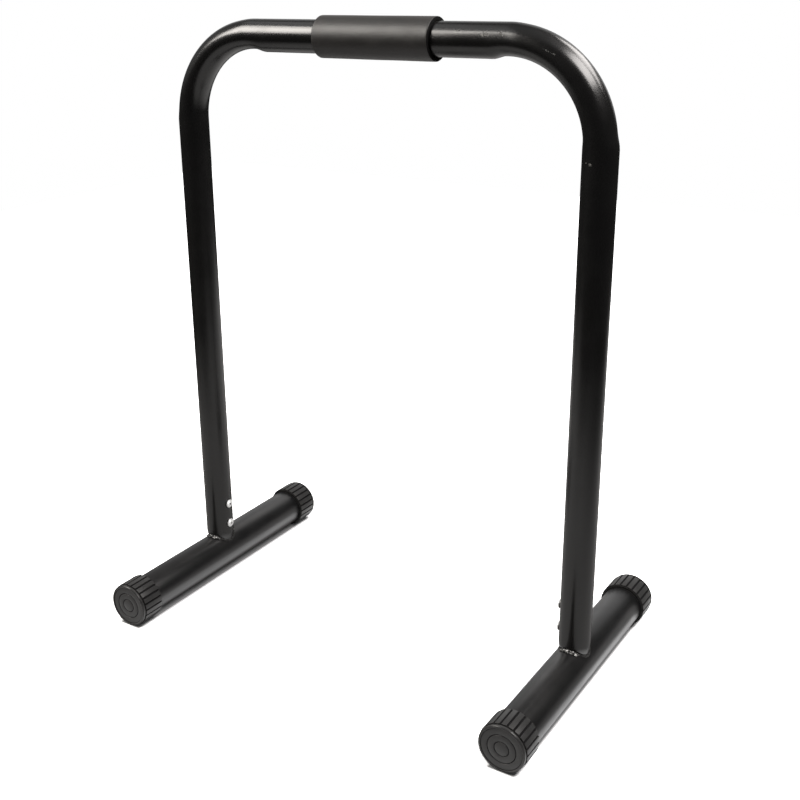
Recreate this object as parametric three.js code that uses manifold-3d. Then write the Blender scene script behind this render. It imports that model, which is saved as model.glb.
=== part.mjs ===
// Dip station: one bent steel tube stands on two floor tubes, each closed by two ribbed end caps.
// Sizes are millimetres. X runs along the bar, Y along the floor tubes and Z up from the floor.
// The origin lies on the floor, midway between the uprights.

import * as THREE from 'three';
import { mergeVertices } from 'three/addons/utils/BufferGeometryUtils.js';
import Module from 'manifold-3d';

const wasm = await Module();
wasm.setup();

// Driving dimensions

const fitGap = 0.3;
const cutOverrun = 5;

const frameTube = {
  diameter: 38,
  wall: 2,
  uprightSpacing: 550,
  barTopHeight: 764,
  bendRadius: 105,
};

// Cold bending flattens the tube: most on the inside next to the bar and on the outside next to the
// upright. It swells a little to the sides.
const bendDent = {
  insideAtBar: 3.3,
  insideAtUpright: 1,
  outsideAtBar: 0.4,
  outsideAtUpright: 2.8,
  sideSwell: 0.8,
  leadOntoBar: 20,
  run: 16,
};

// Each upright ends in a saddle cut round the floor tube, with the rim of its two ears dressed inwards.
const uprightEnd = {
  gapOverRidge: 5,
  gapAtEars: 2.4,
  dressedAboveRidge: 7,
  dressedDepth: 1.4,
};

const floorTube = {
  diameter: 50,
  wall: 2,
  length: 372,
};

const spigot = {
  sideClearance: 0.4,
  wall: 2,
  aboveTopScrew: 20,
};

const weldBead = {
  outreach: 0.6,
  heightShare: 0.95,
};

const screw = {
  threadDiameter: 6,
  length: 12,
  headDiameter: 12,
  headHeight: 3,
  headEdge: 1,
  recessLength: 6.4,
  recessWidth: 1.4,
  recessDepth: 1.5,
  lowestAboveRidge: 20.5,
  pitch: 30,
};

const weldNut = {
  acrossFlats: 10,
  thickness: 5,
};

const endCap = {
  depth: 35,
  endThickness: 3.7,
  wall: 2.1,
  ribHeight: 1.6,
  ribCount: 22,
  ribLandShare: 0.69,
  ribFootShare: 0.8,
  rimDepth: 3.5,
  rimStep: 0.6,
  rimRound: 1.4,
  faceLip: 1.6,
  faceRecess: 0.8,
};

const grip = {
  thickness: 4.7,
  length: 152,
  shiftAlongBar: 6,
  endRound: 1,
};

// Facet counts

const tubeSides = 32;
const bendSteps = 10;
const boreSides = 20;
const boreBendSteps = 5;
const floorTubeSides = 36;
const copeSides = 48;
const screwSides = 18;
const beadSteps = 32;
const roundSteps = 3;

// Sizes worked out from the driving dimensions

const tubeRadius = frameTube.diameter / 2;
const tubeBore = tubeRadius - frameTube.wall;
const floorRadius = floorTube.diameter / 2;
const seatRadius = floorRadius + fitGap;
const ribRoot = seatRadius + endCap.wall;
const ribTop = ribRoot + endCap.ribHeight;
const floorAxisHeight = ribTop;
const barAxisHeight = frameTube.barTopHeight - tubeRadius;
const uprightX = frameTube.uprightSpacing / 2;
const bendCentreX = uprightX - frameTube.bendRadius;
const bendCentreHeight = barAxisHeight - frameTube.bendRadius;
const bendArc = frameTube.bendRadius * Math.PI / 2;
const copeOverRidge = floorRadius + uprightEnd.gapOverRidge;
const earHeight = saddleHeight(floorRadius, tubeRadius) + uprightEnd.gapAtEars;
const copeHalfWidth = tubeRadius / Math.sqrt(1 - (earHeight / copeOverRidge) ** 2);
const spigotRadius = tubeBore - spigot.sideClearance;
const spigotBore = spigotRadius - spigot.wall;
const threadRadius = screw.threadDiameter / 2;
const lowScrewHeight = floorRadius + screw.lowestAboveRidge;
const highScrewHeight = lowScrewHeight + screw.pitch;

const sides = [
  { name: 'left', sign: -1, turnToMiddle: 0 },
  { name: 'right', sign: 1, turnToMiddle: Math.PI },
];
const ends = [
  { name: 'front', sign: -1 },
  { name: 'rear', sign: 1 },
];
const screwRows = [
  { name: 'lower', height: lowScrewHeight },
  { name: 'upper', height: highScrewHeight },
];

// Materials

const powderCoat = new THREE.MeshStandardMaterial({ color: 0x1d1d1e, roughness: 0.42, metalness: 0.1 });
const foam = new THREE.MeshStandardMaterial({ color: 0x35322f, roughness: 0.85, metalness: 0 });
const capPlastic = new THREE.MeshStandardMaterial({ color: 0x232323, roughness: 0.6, metalness: 0 });
const zincPlate = new THREE.MeshStandardMaterial({ color: 0xc8cacc, roughness: 0.3, metalness: 1 });
const weldMetal = new THREE.MeshStandardMaterial({ color: 0x55565a, roughness: 0.5, metalness: 0.6 });

// Booleans

function toSolid(geometry) {
  const bare = geometry.clone();
  bare.deleteAttribute('normal');
  bare.deleteAttribute('uv');
  const merged = mergeVertices(bare);
  const mesh = new wasm.Mesh({
    numProp: 3,
    vertProperties: new Float32Array(merged.attributes.position.array),
    triVerts: new Uint32Array(merged.index.array),
  });
  return new wasm.Manifold(mesh);
}

function toGeometry(solid) {
  const mesh = solid.getMesh();
  const geometry = new THREE.BufferGeometry();
  geometry.setAttribute('position', new THREE.BufferAttribute(mesh.vertProperties, 3));
  geometry.setIndex(new THREE.BufferAttribute(mesh.triVerts, 1));
  geometry.computeVertexNormals();
  return geometry;
}

// The first geometry with all the others cut out of it.
function cut(geometry, tools) {
  let solid = toSolid(geometry);
  for (const tool of tools) {
    solid = solid.subtract(toSolid(tool));
  }
  return toGeometry(solid);
}

// Shared shapes

// Height over the axis of a lying cylinder at a distance beside it.
function saddleHeight(radius, beside) {
  return Math.sqrt(Math.max(radius ** 2 - beside ** 2, 0));
}

// A skin over rings of [x, y, z] points: closed by a fan at each end, or joined from last to first.
function skin(rings, joined) {
  const count = rings[0].length;
  const points = rings.flat();
  const index = [];
  for (let i = 0; i < rings.length - (joined ? 0 : 1); i += 1) {
    const here = i * count;
    const next = ((i + 1) % rings.length) * count;
    for (let j = 0; j < count; j += 1) {
      const k = (j + 1) % count;
      index.push(here + j, next + j, next + k);
      index.push(here + j, next + k, here + k);
    }
  }
  const last = points.length - count;
  for (let j = 1; !joined && j < count - 1; j += 1) {
    index.push(0, j, j + 1);
    index.push(last, last + j + 1, last + j);
  }
  const geometry = new THREE.BufferGeometry();
  geometry.setAttribute('position', new THREE.Float32BufferAttribute(points.flat(), 3));
  geometry.setIndex(index);
  geometry.computeVertexNormals();
  return geometry;
}

// A solid of revolution about Y from [radius, height] points in order up its outside.
function turned(outline, segments) {
  return new THREE.LatheGeometry(outline.map(([radius, height]) => new THREE.Vector2(radius, height)), segments);
}

function pipe(outerRadius, innerRadius, low, high, segments) {
  const outline = [[innerRadius, low], [outerRadius, low], [outerRadius, high], [innerRadius, high]];
  return turned([...outline, outline[0]], segments);
}

// A quarter round from the side of a disc of that radius to its top at that height.
function roundedEdge(radius, height, across, up) {
  const points = [];
  for (let i = 0; i <= roundSteps; i += 1) {
    const angle = (i / roundSteps) * Math.PI / 2;
    points.push([radius - across * (1 - Math.cos(angle)), height - up * (1 - Math.sin(angle))]);
  }
  return points;
}

// A rod along Y, as wide as a half width and a half height say, that cuts across an upright.
function crossRod(halfWidth, halfHeight) {
  const rod = new THREE.CylinderGeometry(1, 1, frameTube.diameter + cutOverrun, copeSides);
  rod.scale(halfWidth, 1, halfHeight);
  return rod;
}

// Clearance holes through the +X wall of an upright and its spigot.
function screwHoles() {
  return screwRows.map((row) => {
    const depth = tubeRadius + cutOverrun;
    const hole = new THREE.CylinderGeometry(threadRadius + fitGap, threadRadius + fitGap, depth, screwSides);
    hole.rotateZ(Math.PI / 2);
    hole.translate(depth / 2, 0, row.height);
    return hole;
  });
}

// Bent frame tube

// How far a dent has built up at a distance into it, from 0 to 1.
function dentGrowth(distance) {
  return THREE.MathUtils.smoothstep(distance, 0, bendDent.run);
}

// The right half's section at a distance along its axis from the line where the bar meets the bend.
function sectionAt(along) {
  const angle = THREE.MathUtils.clamp(along / frameTube.bendRadius, 0, Math.PI / 2);
  const acrossBend = angle / (Math.PI / 2);
  const fading = dentGrowth(bendArc - along);
  const inside = THREE.MathUtils.lerp(bendDent.insideAtBar, bendDent.insideAtUpright, acrossBend);
  const outside = THREE.MathUtils.lerp(bendDent.outsideAtBar, bendDent.outsideAtUpright, acrossBend);
  return {
    x: bendCentreX + frameTube.bendRadius * Math.sin(angle) + Math.min(along, 0),
    z: bendCentreHeight + frameTube.bendRadius * Math.cos(angle),
    outX: Math.sin(angle),
    outZ: Math.cos(angle),
    inside: inside * dentGrowth(along + bendDent.leadOntoBar) * fading,
    outside: outside * dentGrowth(along) * fading,
    swell: bendDent.sideSwell * dentGrowth(along) * fading,
  };
}

// The right upright's section at a height over the floor tube's axis, with its skin set in by a depth.
function uprightSection(height, depth) {
  const upright = { x: uprightX, outX: 1, outZ: 0 };
  return { ...upright, z: floorAxisHeight + height, inside: depth, outside: depth, swell: -depth };
}

// Sections where the dents build up, round the bend, and where they fade out again.
function bendSections(steps) {
  const growthShares = [0, 0.5, 1];
  const alongs = [
    ...growthShares.map((share) => bendDent.run * share - bendDent.leadOntoBar),
    ...growthShares.map((share) => bendArc - bendDent.run * share),
  ];
  for (let i = 0; i < steps; i += 1) {
    alongs.push((bendArc - bendDent.run) * (i / steps));
  }
  return alongs.sort((a, b) => a - b).map(sectionAt);
}

function sectionRing(section, radius, count, sign) {
  const ring = [];
  for (let i = 0; i < count; i += 1) {
    const angle = (i / count) * 2 * Math.PI;
    const dent = Math.cos(angle) > 0 ? section.outside : section.inside;
    const out = (radius - dent) * Math.cos(angle);
    const side = (radius + section.swell) * Math.sin(angle);
    ring.push([sign * (section.x + section.outX * out), side, section.z + section.outZ * out]);
  }
  return ring;
}

// A solid arch from one lower end over the bar to the other, through the right half's sections.
function archGeometry(sections, radius, count) {
  const left = sections.map((section) => sectionRing(section, radius, count, -1));
  const right = sections.map((section) => sectionRing(section, radius, count, 1));
  return skin([...left.reverse(), ...right], false);
}

function frameGeometry() {
  const dressedEnd = [
    uprightSection(floorRadius + uprightEnd.dressedAboveRidge, 0),
    uprightSection(earHeight, uprightEnd.dressedDepth),
    uprightSection(0, uprightEnd.dressedDepth),
  ];
  const outside = archGeometry([...bendSections(bendSteps), ...dressedEnd], tubeRadius, tubeSides);
  const boreEnd = uprightSection(-cutOverrun, 0);
  const bore = archGeometry([...bendSections(boreBendSteps), boreEnd], tubeBore, boreSides);
  const tools = [bore];
  for (const side of sides) {
    for (const tool of [crossRod(copeHalfWidth, copeOverRidge), ...screwHoles()]) {
      tool.rotateZ(side.turnToMiddle);
      tool.translate(side.sign * uprightX, 0, floorAxisHeight);
      tools.push(tool);
    }
  }
  return cut(outside, tools);
}

// Foam grip, a sleeve round the bar

function gripGeometry() {
  const bore = tubeRadius + fitGap;
  const halfLength = grip.length / 2;
  const farEnd = roundedEdge(bore + grip.thickness, halfLength, grip.endRound, grip.endRound);
  const nearEnd = farEnd.map(([radius, height]) => [radius, -height]).reverse();
  const outline = [[bore, -halfLength], ...nearEnd, ...farEnd, [bore, halfLength]];
  const sleeve = turned([...outline, outline[0]], floorTubeSides);
  sleeve.rotateZ(-Math.PI / 2);
  return sleeve;
}

// Floor tube and what is welded to it

function floorTubeGeometry() {
  const halfLength = floorTube.length / 2;
  return pipe(floorRadius, floorRadius - floorTube.wall, -halfLength, halfLength, floorTubeSides);
}

function spigotGeometry() {
  const top = highScrewHeight + spigot.aboveTopScrew;
  const tube = pipe(spigotRadius, spigotBore, 0, top, tubeSides);
  tube.rotateX(Math.PI / 2);
  return cut(tube, [crossRod(seatRadius, seatRadius), ...screwHoles()]);
}

// A fillet of weld in the corner between the floor tube and the spigot, higher over the ridge.
function weldBeadGeometry() {
  const outlineShares = [[0, 0], [1, 0], [0.9, 0.45], [0.55, 0.8], [0, 1]];
  const rings = [];
  for (let i = 0; i < beadSteps; i += 1) {
    const angle = (i / beadSteps) * 2 * Math.PI;
    const gap = THREE.MathUtils.lerp(uprightEnd.gapAtEars, uprightEnd.gapOverRidge, Math.sin(angle) ** 2);
    const height = (gap - 2 * fitGap) * weldBead.heightShare;
    rings.push(outlineShares.map(([outShare, upShare]) => {
      const radius = THREE.MathUtils.lerp(spigotRadius + fitGap, tubeRadius + weldBead.outreach, outShare);
      const x = radius * Math.cos(angle);
      return [x, radius * Math.sin(angle), saddleHeight(seatRadius, x) + height * upShare];
    }));
  }
  return skin(rings, true);
}

// Screws and nuts, along X with the screw's head at +X

function screwGeometry() {
  const headRadius = screw.headDiameter / 2;
  const shank = [[0, -screw.length], [threadRadius, -screw.length], [threadRadius, 0], [headRadius, 0]];
  const dome = roundedEdge(headRadius, screw.headHeight, headRadius, screw.headHeight - screw.headEdge);
  const body = turned([...shank, ...dome], screwSides);
  body.rotateZ(-Math.PI / 2);
  const depth = screw.recessDepth + cutOverrun;
  const slots = [
    new THREE.BoxGeometry(depth, screw.recessLength, screw.recessWidth),
    new THREE.BoxGeometry(depth, screw.recessWidth, screw.recessLength),
  ];
  for (const slot of slots) {
    slot.translate(screw.headHeight - screw.recessDepth + depth / 2, 0, 0);
  }
  return cut(body, slots);
}

function weldNutGeometry() {
  const cornerRadius = weldNut.acrossFlats / 2 / Math.cos(Math.PI / 6);
  const block = new THREE.CylinderGeometry(cornerRadius, cornerRadius, weldNut.thickness, 6);
  const thread = threadRadius + fitGap;
  const bore = new THREE.CylinderGeometry(thread, thread, weldNut.thickness + cutOverrun, screwSides);
  const nut = cut(block, [bore]);
  nut.rotateZ(Math.PI / 2);
  return nut;
}

// End cap, a cup along Z with its mouth at z = 0 and a rib centred on +Y

function ribbedOutline() {
  const pitch = (2 * Math.PI) / endCap.ribCount;
  const footHalf = ribRoot * Math.tan(pitch * endCap.ribFootShare / 2);
  const landHalf = ribTop * Math.tan(pitch * endCap.ribLandShare / 2);
  const rib = [[footHalf, ribRoot], [landHalf, ribTop], [-landHalf, ribTop], [-footHalf, ribRoot]];
  const points = [];
  for (let i = 0; i < endCap.ribCount; i += 1) {
    for (const [x, y] of rib) {
      points.push(new THREE.Vector2(x, y).rotateAround(new THREE.Vector2(), i * pitch));
    }
  }
  return new THREE.Shape(points);
}

function endCapGeometry() {
  const barrelDepth = endCap.depth - endCap.rimDepth;
  const barrel = new THREE.ExtrudeGeometry(ribbedOutline(), { depth: barrelDepth, bevelEnabled: false });
  const rimRadius = ribTop - endCap.rimStep;
  const lipRadius = rimRadius - endCap.rimRound - endCap.faceLip;
  const boreDepth = endCap.depth - endCap.endThickness;
  const cover = turned([
    [0, boreDepth - endCap.rimDepth],
    [ribRoot, boreDepth - endCap.rimDepth],
    [ribRoot, barrelDepth],
    [rimRadius, barrelDepth],
    ...roundedEdge(rimRadius, endCap.depth, endCap.rimRound, endCap.rimRound),
    [lipRadius, endCap.depth],
    [lipRadius - endCap.faceRecess, endCap.depth - endCap.faceRecess],
    [0, endCap.depth - endCap.faceRecess],
  ], floorTubeSides);
  cover.rotateX(Math.PI / 2);
  const bore = new THREE.CylinderGeometry(seatRadius, seatRadius, boreDepth + cutOverrun, floorTubeSides);
  bore.rotateX(Math.PI / 2);
  bore.translate(0, 0, (boreDepth - cutOverrun) / 2);
  return toGeometry(toSolid(barrel).add(toSolid(cover)).subtract(toSolid(bore)));
}

// Assembly

function named(name, geometry, material) {
  const mesh = new THREE.Mesh(geometry, material);
  mesh.name = name;
  return mesh;
}

// The spigot welded to a floor tube, its weld and its screws and nuts, with the screws at +X.
function buildJoint(sideName) {
  const joint = new THREE.Group();
  joint.add(named(`spigot_${sideName}`, spigotGeometry(), powderCoat));
  joint.add(named(`weld_bead_${sideName}`, weldBeadGeometry(), weldMetal));
  const nutFace = saddleHeight(spigotBore, weldNut.acrossFlats / 2) - fitGap;
  for (const row of screwRows) {
    const bolt = named(`screw_${row.name}_${sideName}`, screwGeometry(), zincPlate);
    bolt.position.set(tubeRadius + fitGap, 0, row.height);
    const nut = named(`weld_nut_${row.name}_${sideName}`, weldNutGeometry(), zincPlate);
    nut.position.set(nutFace - weldNut.thickness / 2, 0, row.height);
    joint.add(bolt, nut);
  }
  return joint;
}

function buildEndCap(end, sideName) {
  const cap = named(`end_cap_${end.name}_${sideName}`, endCapGeometry(), capPlastic);
  const face = floorTube.length / 2 + fitGap + endCap.endThickness;
  cap.position.y = end.sign * (face - endCap.depth);
  cap.rotation.x = -end.sign * Math.PI / 2;
  return cap;
}

// One floor tube with its caps and its joint, round the floor tube's centre.
function buildStand(side) {
  const stand = new THREE.Group();
  stand.position.set(side.sign * uprightX, 0, floorAxisHeight);
  stand.add(named(`floor_tube_${side.name}`, floorTubeGeometry(), powderCoat));
  for (const end of ends) {
    stand.add(buildEndCap(end, side.name));
  }
  const joint = buildJoint(side.name);
  joint.rotation.z = side.turnToMiddle;
  stand.add(joint);
  return stand;
}

const dipStation = new THREE.Group();
dipStation.add(named('bent_frame_tube', frameGeometry(), powderCoat));
const gripSleeve = named('grip_sleeve', gripGeometry(), foam);
gripSleeve.position.set(grip.shiftAlongBar, 0, barAxisHeight);
dipStation.add(gripSleeve);
for (const side of sides) {
  dipStation.add(buildStand(side));
}

export default dipStation;
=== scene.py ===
"""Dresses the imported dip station: a bent tube with a foam grip on two capped floor tubes."""

import logging
import math
from collections.abc import Callable, Iterable, Iterator
from dataclasses import dataclass, field
from enum import Enum
from itertools import pairwise

import bmesh
import bpy
from mathutils import Matrix, Vector, noise


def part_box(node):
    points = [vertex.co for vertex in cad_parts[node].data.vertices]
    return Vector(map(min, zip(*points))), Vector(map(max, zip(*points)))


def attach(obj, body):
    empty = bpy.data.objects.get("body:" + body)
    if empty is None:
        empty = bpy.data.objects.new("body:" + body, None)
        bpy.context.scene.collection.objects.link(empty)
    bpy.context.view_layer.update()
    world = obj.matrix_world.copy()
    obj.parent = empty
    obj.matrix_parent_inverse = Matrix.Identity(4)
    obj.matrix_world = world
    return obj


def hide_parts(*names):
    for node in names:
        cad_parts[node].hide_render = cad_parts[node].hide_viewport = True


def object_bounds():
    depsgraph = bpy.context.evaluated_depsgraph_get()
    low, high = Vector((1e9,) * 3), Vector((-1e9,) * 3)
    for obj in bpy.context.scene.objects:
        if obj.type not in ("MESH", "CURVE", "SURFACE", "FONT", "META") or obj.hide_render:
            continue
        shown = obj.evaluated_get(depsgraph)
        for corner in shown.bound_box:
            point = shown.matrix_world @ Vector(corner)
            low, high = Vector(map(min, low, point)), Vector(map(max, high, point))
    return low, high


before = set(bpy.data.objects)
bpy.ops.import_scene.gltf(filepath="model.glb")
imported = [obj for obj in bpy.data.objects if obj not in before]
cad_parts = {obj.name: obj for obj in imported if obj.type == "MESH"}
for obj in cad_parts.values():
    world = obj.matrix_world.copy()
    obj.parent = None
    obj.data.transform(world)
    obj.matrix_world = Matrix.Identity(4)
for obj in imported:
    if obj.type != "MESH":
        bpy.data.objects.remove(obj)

CAD_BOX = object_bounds()
BODY = "root"
MM = 0.001
SAME_SPOT = 0.001 * MM
NEAR_SPOT = 0.01 * MM
WALL = 2 * MM
QUARTER = math.pi / 2
# The points' mark of painted shade, in the caps' grooves and the screws' recesses; on the caps, below 0,
# it marks the shiny rim.
GROOVE_SHADE = "groove"
BARE = "bare"

Span = tuple[float, float]
Place = tuple[float, float, float]
Colour = tuple[float, float, float, float]
Outline = list[Span]
Material = bpy.types.Material
Socket = bpy.types.NodeSocket

ORIGIN: Place = (0.0, 0.0, 0.0)
RISE: Span = (0.0, 1.0)
FALL: Span = (1.0, 0.0)

log = logging.getLogger("dip_station")


class Named(Enum):
    """A choice whose options are words in the names of the CAD nodes."""

    @property
    def word(self) -> str:
        """The option's name as the CAD nodes spell it."""
        return self.name.lower()


class Side(Named):
    """The two floor tubes and uprights."""

    LEFT = -1
    RIGHT = 1


class End(Named):
    """The two ends of a floor tube."""

    FRONT = -1
    REAR = 1


class Row(Named):
    """The two screws in an upright, with the turn of the recess in each head in degrees."""

    LOWER = 8
    UPPER = 38


def middle(node: str) -> Vector:
    """Finds the centre of a CAD node's box."""
    low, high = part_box(node)
    return (Vector(low) + Vector(high)) / 2


def span(node: str) -> Vector:
    """Finds the three sides of a CAD node's box."""
    low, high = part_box(node)
    return Vector(high) - Vector(low)


def smooth_step(share: float) -> float:
    """Eases a share from 0 to 1 and holds it outside that range."""
    clamped = min(max(share, 0.0), 1.0)
    return clamped * clamped * (3 - 2 * clamped)


def between(ends: Span, share: float) -> float:
    """Gives the number that lies a share of the way from one end to the other."""
    return ends[0] + (ends[1] - ends[0]) * share


def saddle_height(radius: float, beside: float) -> float:
    """Gives the height of a lying cylinder's surface over its axis, 0 outside the cylinder."""
    return math.sqrt(max(radius**2 - beside**2, 0.0))


def off_rib(spot: Vector) -> float:
    """Gives the angle round Z from +Y to a spot, on either side."""
    return abs(math.atan2(spot.x, spot.y))


def arc(corner: Span, size: Span, steps: int) -> Outline:
    """Lists the points of a quarter round that turns from outwards to up.

    Args:
        corner: The round's centre, as radius and height.
        size: Its width and its height.
        steps: How many steps it has.

    Returns:
        The points.
    """
    points = []
    for step in range(steps + 1):
        angle = QUARTER * step / steps
        points.append((corner[0] + size[0] * math.cos(angle), corner[1] + size[1] * math.sin(angle)))
    return points


def posed(spot: Place | Vector, *turns: tuple[float, str]) -> Matrix:
    """Makes the matrix that turns a thing and moves it to a spot.

    Args:
        spot: Where its origin goes.
        *turns: An angle in degrees and an axis each, the last turn first.

    Returns:
        The matrix.
    """
    matrix = Matrix.Translation(spot)
    for angle, axis in turns:
        matrix = matrix @ Matrix.Rotation(math.radians(angle), 4, axis)
    return matrix


def extrude(x: float, y: float, z: float) -> None:
    """Extrudes what is selected in edit mode by an offset."""
    bpy.ops.mesh.extrude_region_move(TRANSFORM_OT_translate={"value": (x, y, z)})


class Workpiece:
    """One mesh on the bench, shaped with Blender's own operators.

    Its object stays at the origin, unturned, with its place in the mesh.
    """

    def __init__(self, name: str) -> None:
        """Takes up the object that an operator has just added, and names it."""
        self.body = bpy.context.active_object
        self.body.name = self.body.data.name = name

    def take(self) -> None:
        """Makes this piece the only selected and the active object."""
        bpy.ops.object.select_all(action="DESELECT")
        self.body.select_set(True)
        bpy.context.view_layer.objects.active = self.body

    def open(self, action: str = "DESELECT") -> None:
        """Opens the mesh in edit mode.

        Args:
            action: What select_all does first.
        """
        self.take()
        bpy.ops.object.mode_set(mode="EDIT")
        bpy.ops.mesh.select_mode(type="VERT")
        bpy.ops.mesh.select_all(action=action)

    def close(self) -> None:
        """Leaves edit mode."""
        bpy.ops.object.mode_set(mode="OBJECT")

    def pick(self, kind: str, test: Callable[..., bool]) -> None:
        """Selects only the elements that pass a test, in edit mode.

        Args:
            kind: VERT, EDGE or FACE.
            test: Takes an element of the edit mesh and says whether to select it.
        """
        bpy.ops.mesh.select_mode(type=kind)
        bpy.ops.mesh.select_all(action="DESELECT")
        mesh = bmesh.from_edit_mesh(self.body.data)
        for element in {"VERT": mesh.verts, "EDGE": mesh.edges, "FACE": mesh.faces}[kind]:
            if test(element):
                element.select_set(True)
        mesh.select_flush_mode()
        bmesh.update_edit_mesh(self.body.data)

    def draw_up(self, outline: Outline) -> None:
        """Draws the selected ring through an outline, as a potter draws up a wall.

        Args:
            outline: Points of radius and height round Z. The ring is at the first one.
        """
        for (radius, height), (next_radius, next_height) in pairwise(outline):
            extrude(0, 0, next_height - height)
            ratio = next_radius / radius
            bpy.ops.transform.resize(value=(ratio, ratio, 1), center_override=(0, 0, next_height))

    def cap_poles(self) -> None:
        """Closes the mesh's open rings with faces, in edit mode."""
        self.pick("EDGE", lambda edge: edge.is_boundary)
        bpy.ops.mesh.edge_face_add()

    def mend(self, reach: float = SAME_SPOT) -> None:
        """Merges doubled points and turns every face outwards.

        Args:
            reach: How near two points are merged, in metres.
        """
        self.open("SELECT")
        bpy.ops.mesh.remove_doubles(threshold=reach)
        bpy.ops.mesh.normals_make_consistent(inside=False)
        self.close()

    def modify(self, kind: str, **settings: object) -> None:
        """Adds a modifier and applies it.

        Args:
            kind: The modifier's type.
            **settings: Its properties.
        """
        self.take()
        modifier = self.body.modifiers.new(kind.title(), kind)
        for name, value in settings.items():
            setattr(modifier, name, value)
        bpy.ops.object.modifier_apply(modifier=modifier.name)

    def combine(self, tool: "Workpiece", operation: str) -> None:
        """Cuts a piece out of this one, or joins it on, and deletes it."""
        self.modify("BOOLEAN", object=tool.body, operation=operation, solver="EXACT")
        tool.discard()

    def round_edges(self, width: float, segments: int, angle: float) -> None:
        """Bevels every edge that is sharper than an angle.

        Args:
            width: The bevel's width, in metres.
            segments: How many faces run across it.
            angle: The least angle between two faces, in degrees.
        """
        self.modify(
            "BEVEL", width=width, segments=segments, limit_method="ANGLE",
            angle_limit=math.radians(angle), harden_normals=False,
        )

    def place(self, matrix: Matrix) -> None:
        """Moves the mesh itself, leaving the object at the origin."""
        self.body.data.transform(matrix)
        self.body.data.update()

    def marks(self, name: str) -> Iterator[tuple[bpy.types.MeshVertex, bpy.types.FloatAttributeValue]]:
        """Adds an attribute to the points.

        Args:
            name: The attribute's name.

        Returns:
            Each point with its mark.
        """
        mesh = self.body.data
        attribute = mesh.attributes.new(name, "FLOAT", "POINT")
        return zip(mesh.vertices, attribute.data)

    def copy(self, name: str) -> "Workpiece":
        """Duplicates the piece with a mesh of its own.

        Args:
            name: The copy's name.

        Returns:
            The copy.
        """
        self.take()
        bpy.ops.object.duplicate(linked=False)
        return Workpiece(name)

    def discard(self) -> None:
        """Deletes a piece that was only a tool or a pattern."""
        self.take()
        bpy.ops.object.delete()

    def fit_out(self, finish: Material, slot: str, node: str, crease: float) -> None:
        """Gives the finished piece its shading, its material and its place in the frame.

        Args:
            finish: Its material.
            slot: The record's material slot. It is not used.
            node: The CAD node that it stands for.
            crease: The angle from which an edge stays sharp, in degrees.
        """
        self.take()
        bpy.ops.object.shade_smooth_by_angle(angle=math.radians(crease))
        if not self.body.data.materials:
            self.body.data.materials.append(finish)
        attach(self.body, BODY)
        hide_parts(node)
        log.info("%s: %d faces for %s", self.body.name, len(self.body.data.polygons), node)


def added(
    name: str, primitive: Callable[..., set[str]], stretch: Place = (1, 1, 1), **settings: object
) -> Workpiece:
    """Adds one of Blender's primitives, with its place, turn and size in its mesh.

    Args:
        name: The piece's name.
        primitive: The operator that adds it.
        stretch: How much it is stretched each way.
        **settings: The operator's own settings.

    Returns:
        The piece.
    """
    bpy.ops.object.select_all(action="DESELECT")
    primitive(**settings)
    piece = Workpiece(name)
    piece.body.scale = stretch
    piece.take()
    bpy.ops.object.transform_apply(location=True, rotation=True, scale=True)
    return piece


def ring(name: str, start: Span, points: int, **settings: object) -> Workpiece:
    """Adds a circle round Z, at a radius and a height, with a number of points."""
    circle = {"vertices": points, "radius": start[0], "location": (0, 0, start[1]), **settings}
    return added(name, bpy.ops.mesh.primitive_circle_add, **circle)


def turned(name: str, outline: Outline, points: int) -> Workpiece:
    """Turns a closed outline round Z into a ring-shaped solid.

    Args:
        name: The piece's name.
        outline: Points of radius and height, not repeating the first.
        points: How many points go round.

    Returns:
        The turned piece.
    """
    piece = ring(name, outline[0], points)
    piece.open("SELECT")
    piece.draw_up([*outline, outline[0]])
    piece.close()
    piece.mend()
    return piece


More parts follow.
